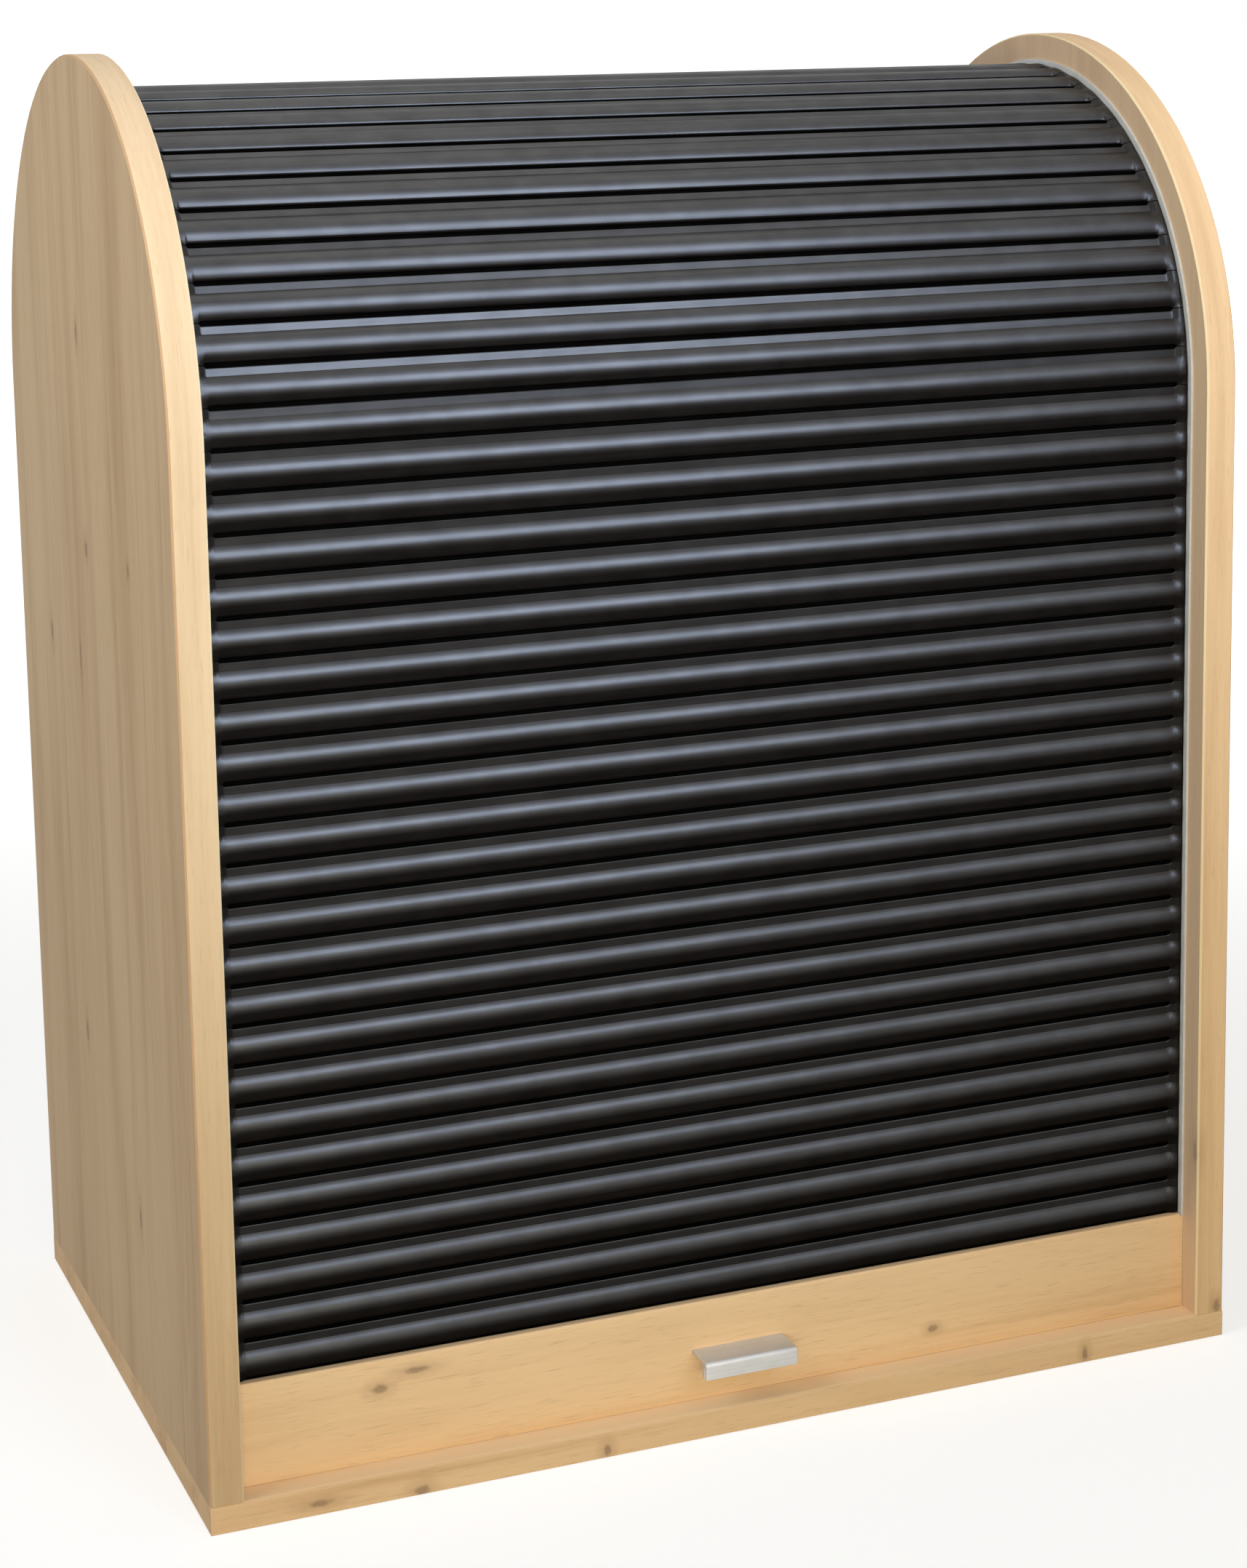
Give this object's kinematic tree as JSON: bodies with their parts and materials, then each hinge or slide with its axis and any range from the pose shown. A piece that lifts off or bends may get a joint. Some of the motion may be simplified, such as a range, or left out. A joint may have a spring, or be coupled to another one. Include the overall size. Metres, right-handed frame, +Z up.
{
  "type": "tambour door cabinet",
  "caption": "Upright cabinet with half-round oak-effect sides and a ribbed black tambour shutter that slides up by a small metal pull, over the top and down behind an inner back.",
  "frame": {"origin": "centre of the base board's underside, where the cabinet stands", "axes": "+Z up, -Y out of the shutter front, +X to the right seen from the front"},
  "size_m": [0.6, 0.3948, 0.746],
  "materials": {
    "oak_decor": "light oak effect melamine, satin",
    "back_board": "thin oak effect hardboard",
    "shutter_black": "satin black plastic, ribbed",
    "track_grey": "light grey plastic",
    "pull_aluminium": "satin aluminium",
    "screw_steel": "zinc plated steel",
    "dowel_wood": "plain beech"
  },
  "bodies": {
    "carcass": {"base_panel": "oak_decor", "side_panel_left": "oak_decor", "side_panel_right": "oak_decor", "back_panel": "back_board", "inner_back_panel": "oak_decor", "rear_top_rail": "oak_decor", "shelf": "oak_decor", "shelf_pins": "screw_steel", "guide_track_left": "track_grey", "guide_track_right": "track_grey", "base_dowels": "dowel_wood", "shutter_edge_left": "shutter_black", "shutter_edge_right": "shutter_black"},
    "door_rail": {"door_rail": "oak_decor", "pull_handle": "pull_aluminium", "pull_screws": "screw_steel", "shutter_slat_01": "shutter_black"},
    "slat_02": {"shutter_slat_02": "shutter_black"},
    "slat_03": {"shutter_slat_03": "shutter_black"},
    "slat_04": {"shutter_slat_04": "shutter_black"},
    "slat_05": {"shutter_slat_05": "shutter_black"},
    "slat_06": {"shutter_slat_06": "shutter_black"},
    "slat_07": {"shutter_slat_07": "shutter_black"},
    "slat_08": {"shutter_slat_08": "shutter_black"},
    "slat_09": {"shutter_slat_09": "shutter_black"},
    "slat_10": {"shutter_slat_10": "shutter_black"},
    "slat_11": {"shutter_slat_11": "shutter_black"},
    "slat_12": {"shutter_slat_12": "shutter_black"},
    "slat_13": {"shutter_slat_13": "shutter_black"},
    "slat_14": {"shutter_slat_14": "shutter_black"},
    "slat_15": {"shutter_slat_15": "shutter_black"},
    "slat_16": {"shutter_slat_16": "shutter_black"},
    "slat_17": {"shutter_slat_17": "shutter_black"},
    "slat_18": {"shutter_slat_18": "shutter_black"},
    "slat_19": {"shutter_slat_19": "shutter_black"},
    "slat_20": {"shutter_slat_20": "shutter_black"},
    "slat_21": {"shutter_slat_21": "shutter_black"},
    "slat_22": {"shutter_slat_22": "shutter_black"},
    "slat_23": {"shutter_slat_23": "shutter_black"},
    "slat_24": {"shutter_slat_24": "shutter_black"},
    "pair_25_26": {"shutter_pair_25_26": "shutter_black"},
    "pair_27_28": {"shutter_pair_27_28": "shutter_black"},
    "pair_29_30": {"shutter_pair_29_30": "shutter_black"},
    "pair_31_32": {"shutter_pair_31_32": "shutter_black"},
    "pair_33_34": {"shutter_pair_33_34": "shutter_black"},
    "pair_35_36": {"shutter_pair_35_36": "shutter_black"},
    "pair_37_38": {"shutter_pair_37_38": "shutter_black"},
    "pair_39_40": {"shutter_pair_39_40": "shutter_black"},
    "pair_41_42": {"shutter_pair_41_42": "shutter_black"},
    "pair_43_44": {"shutter_pair_43_44": "shutter_black"},
    "pair_45_46": {"shutter_pair_45_46": "shutter_black"}
  },
  "joints": [
    {"name": "shutter_slide", "type": "slide", "parent": "carcass", "child": "door_rail", "axis": [0, 0, 1], "range_m": [0, 0.462], "deforming": ["shutter_edge_left", "shutter_edge_right"]},
    {"name": "slat_02_turn", "type": "hinge", "parent": "carcass", "child": "slat_02", "pos_m": [0, 5.77777, 0.32675], "axis": [-1, 0, 0], "range_deg": [0, 4.45]},
    {"name": "slat_03_turn", "type": "hinge", "parent": "carcass", "child": "slat_03", "pos_m": [0, 2.14902, 0.33725], "axis": [-1, 0, 0], "range_deg": [0, 11.37]},
    {"name": "slat_04_turn", "type": "hinge", "parent": "carcass", "child": "slat_04", "pos_m": [0, 1.26361, 0.34775], "axis": [-1, 0, 0], "range_deg": [0, 18.28]},
    {"name": "slat_05_turn", "type": "hinge", "parent": "carcass", "child": "slat_05", "pos_m": [0, 0.86265, 0.35825], "axis": [-1, 0, 0], "range_deg": [0, 25.2]},
    {"name": "slat_06_turn", "type": "hinge", "parent": "carcass", "child": "slat_06", "pos_m": [0, 0.63338, 0.36875], "axis": [-1, 0, 0], "range_deg": [0, 32.11]},
    {"name": "slat_07_turn", "type": "hinge", "parent": "carcass", "child": "slat_07", "pos_m": [0, 0.48473, 0.37925], "axis": [-1, 0, 0], "range_deg": [0, 39.02]},
    {"name": "slat_08_turn", "type": "hinge", "parent": "carcass", "child": "slat_08", "pos_m": [0, 0.38048, 0.38975], "axis": [-1, 0, 0], "range_deg": [0, 45.94]},
    {"name": "slat_09_turn", "type": "hinge", "parent": "carcass", "child": "slat_09", "pos_m": [0, 0.30335, 0.40025], "axis": [-1, 0, 0], "range_deg": [0, 52.85]},
    {"name": "slat_10_turn", "type": "hinge", "parent": "carcass", "child": "slat_10", "pos_m": [0, 0.24407, 0.41075], "axis": [-1, 0, 0], "range_deg": [0, 59.77]},
    {"name": "slat_11_turn", "type": "hinge", "parent": "carcass", "child": "slat_11", "pos_m": [0, 0.19722, 0.42125], "axis": [-1, 0, 0], "range_deg": [0, 66.69]},
    {"name": "slat_12_turn", "type": "hinge", "parent": "carcass", "child": "slat_12", "pos_m": [0, 0.15942, 0.43175], "axis": [-1, 0, 0], "range_deg": [0, 73.6]},
    {"name": "slat_13_turn", "type": "hinge", "parent": "carcass", "child": "slat_13", "pos_m": [0, 0.12844, 0.44225], "axis": [-1, 0, 0], "range_deg": [0, 80.52]},
    {"name": "slat_14_turn", "type": "hinge", "parent": "carcass", "child": "slat_14", "pos_m": [0, 0.10277, 0.45275], "axis": [-1, 0, 0], "range_deg": [0, 87.43]},
    {"name": "slat_15_turn", "type": "hinge", "parent": "carcass", "child": "slat_15", "pos_m": [0, 0.07885, 0.46451], "axis": [-1, 0, 0], "range_deg": [0, 95.21]},
    {"name": "slat_16_turn", "type": "hinge", "parent": "carcass", "child": "slat_16", "pos_m": [0, 0.05782, 0.47682], "axis": [-1, 0, 0], "range_deg": [0, 103.51]},
    {"name": "slat_17_turn", "type": "hinge", "parent": "carcass", "child": "slat_17", "pos_m": [0, 0.04051, 0.48893], "axis": [-1, 0, 0], "range_deg": [0, 111.81]},
    {"name": "slat_18_turn", "type": "hinge", "parent": "carcass", "child": "slat_18", "pos_m": [0, 0.02626, 0.5009], "axis": [-1, 0, 0], "range_deg": [0, 120.11]},
    {"name": "slat_19_turn", "type": "hinge", "parent": "carcass", "child": "slat_19", "pos_m": [0, 0.01463, 0.51274], "axis": [-1, 0, 0], "range_deg": [0, 128.41]},
    {"name": "slat_20_turn", "type": "hinge", "parent": "carcass", "child": "slat_20", "pos_m": [0, 0.00525, 0.52449], "axis": [-1, 0, 0], "range_deg": [0, 136.7]},
    {"name": "slat_21_turn", "type": "hinge", "parent": "carcass", "child": "slat_21", "pos_m": [0, -0.00212, 0.53618], "axis": [-1, 0, 0], "range_deg": [0, 145]},
    {"name": "slat_22_turn", "type": "hinge", "parent": "carcass", "child": "slat_22", "pos_m": [0, -0.00768, 0.54781], "axis": [-1, 0, 0], "range_deg": [0, 153.3]},
    {"name": "slat_23_turn", "type": "hinge", "parent": "carcass", "child": "slat_23", "pos_m": [0, -0.01154, 0.5594], "axis": [-1, 0, 0], "range_deg": [0, 161.6]},
    {"name": "slat_24_turn", "type": "hinge", "parent": "carcass", "child": "slat_24", "pos_m": [0, -0.01275, 0.56478], "axis": [-1, 0, 0], "range_deg": [0, 165.45]},
    {"name": "pair_25_26_turn", "type": "hinge", "parent": "carcass", "child": "pair_25_26", "pos_m": [0, -0.013, 0.56443], "axis": [-1, 0, 0], "range_deg": [0, 165.19]},
    {"name": "pair_27_28_turn", "type": "hinge", "parent": "carcass", "child": "pair_27_28", "pos_m": [0, -0.01691, 0.54524], "axis": [-1, 0, 0], "range_deg": [0, 151.36]},
    {"name": "pair_29_30_turn", "type": "hinge", "parent": "carcass", "child": "pair_29_30", "pos_m": [0, -0.02634, 0.52618], "axis": [-1, 0, 0], "range_deg": [0, 137.53]},
    {"name": "pair_31_32_turn", "type": "hinge", "parent": "carcass", "child": "pair_31_32", "pos_m": [0, -0.04204, 0.5073], "axis": [-1, 0, 0], "range_deg": [0, 123.7]},
    {"name": "pair_33_34_turn", "type": "hinge", "parent": "carcass", "child": "pair_33_34", "pos_m": [0, -0.06537, 0.48872], "axis": [-1, 0, 0], "range_deg": [0, 109.87]},
    {"name": "pair_35_36_turn", "type": "hinge", "parent": "carcass", "child": "pair_35_36", "pos_m": [0, -0.0986, 0.47059], "axis": [-1, 0, 0], "range_deg": [0, 96.04]},
    {"name": "pair_37_38_turn", "type": "hinge", "parent": "carcass", "child": "pair_37_38", "pos_m": [0, -0.15195, 0.45104], "axis": [-1, 0, 0], "range_deg": [0, 80.65]},
    {"name": "pair_39_40_turn", "type": "hinge", "parent": "carcass", "child": "pair_39_40", "pos_m": [0, -0.23977, 0.43004], "axis": [-1, 0, 0], "range_deg": [0, 64.05]},
    {"name": "pair_41_42_turn", "type": "hinge", "parent": "carcass", "child": "pair_41_42", "pos_m": [0, -0.38899, 0.40904], "axis": [-1, 0, 0], "range_deg": [0, 47.45]},
    {"name": "pair_43_44_turn", "type": "hinge", "parent": "carcass", "child": "pair_43_44", "pos_m": [0, -0.69561, 0.38804], "axis": [-1, 0, 0], "range_deg": [0, 30.86]},
    {"name": "pair_45_46_turn", "type": "hinge", "parent": "carcass", "child": "pair_45_46", "pos_m": [0, -1.70266, 0.36704], "axis": [-1, 0, 0], "range_deg": [0, 14.26]}
  ],
  "couplings": [
    {"joint": "slat_02_turn", "follows": "shutter_slide", "rad_per_m": 0.16794},
    {"joint": "slat_03_turn", "follows": "shutter_slide", "rad_per_m": 0.42917},
    {"joint": "slat_04_turn", "follows": "shutter_slide", "rad_per_m": 0.6904},
    {"joint": "slat_05_turn", "follows": "shutter_slide", "rad_per_m": 0.95164},
    {"joint": "slat_06_turn", "follows": "shutter_slide", "rad_per_m": 1.2129},
    {"joint": "slat_07_turn", "follows": "shutter_slide", "rad_per_m": 1.4741},
    {"joint": "slat_08_turn", "follows": "shutter_slide", "rad_per_m": 1.7353},
    {"joint": "slat_09_turn", "follows": "shutter_slide", "rad_per_m": 1.9966},
    {"joint": "slat_10_turn", "follows": "shutter_slide", "rad_per_m": 2.2578},
    {"joint": "slat_11_turn", "follows": "shutter_slide", "rad_per_m": 2.519},
    {"joint": "slat_12_turn", "follows": "shutter_slide", "rad_per_m": 2.7803},
    {"joint": "slat_13_turn", "follows": "shutter_slide", "rad_per_m": 3.0415},
    {"joint": "slat_14_turn", "follows": "shutter_slide", "rad_per_m": 3.3027},
    {"joint": "slat_15_turn", "follows": "shutter_slide", "rad_per_m": 3.5968},
    {"joint": "slat_16_turn", "follows": "shutter_slide", "rad_per_m": 3.9102},
    {"joint": "slat_17_turn", "follows": "shutter_slide", "rad_per_m": 4.2237},
    {"joint": "slat_18_turn", "follows": "shutter_slide", "rad_per_m": 4.5372},
    {"joint": "slat_19_turn", "follows": "shutter_slide", "rad_per_m": 4.8507},
    {"joint": "slat_20_turn", "follows": "shutter_slide", "rad_per_m": 5.1642},
    {"joint": "slat_21_turn", "follows": "shutter_slide", "rad_per_m": 5.4776},
    {"joint": "slat_22_turn", "follows": "shutter_slide", "rad_per_m": 5.7911},
    {"joint": "slat_23_turn", "follows": "shutter_slide", "rad_per_m": 6.1046},
    {"joint": "slat_24_turn", "follows": "shutter_slide", "rad_per_m": 6.2501},
    {"joint": "pair_25_26_turn", "follows": "shutter_slide", "rad_per_m": 6.2402},
    {"joint": "pair_27_28_turn", "follows": "shutter_slide", "rad_per_m": 5.7177},
    {"joint": "pair_29_30_turn", "follows": "shutter_slide", "rad_per_m": 5.1953},
    {"joint": "pair_31_32_turn", "follows": "shutter_slide", "rad_per_m": 4.6728},
    {"joint": "pair_33_34_turn", "follows": "shutter_slide", "rad_per_m": 4.1503},
    {"joint": "pair_35_36_turn", "follows": "shutter_slide", "rad_per_m": 3.6279},
    {"joint": "pair_37_38_turn", "follows": "shutter_slide", "rad_per_m": 3.0465},
    {"joint": "pair_39_40_turn", "follows": "shutter_slide", "rad_per_m": 2.4195},
    {"joint": "pair_41_42_turn", "follows": "shutter_slide", "rad_per_m": 1.7926},
    {"joint": "pair_43_44_turn", "follows": "shutter_slide", "rad_per_m": 1.1656},
    {"joint": "pair_45_46_turn", "follows": "shutter_slide", "rad_per_m": 0.53865}
  ]
}
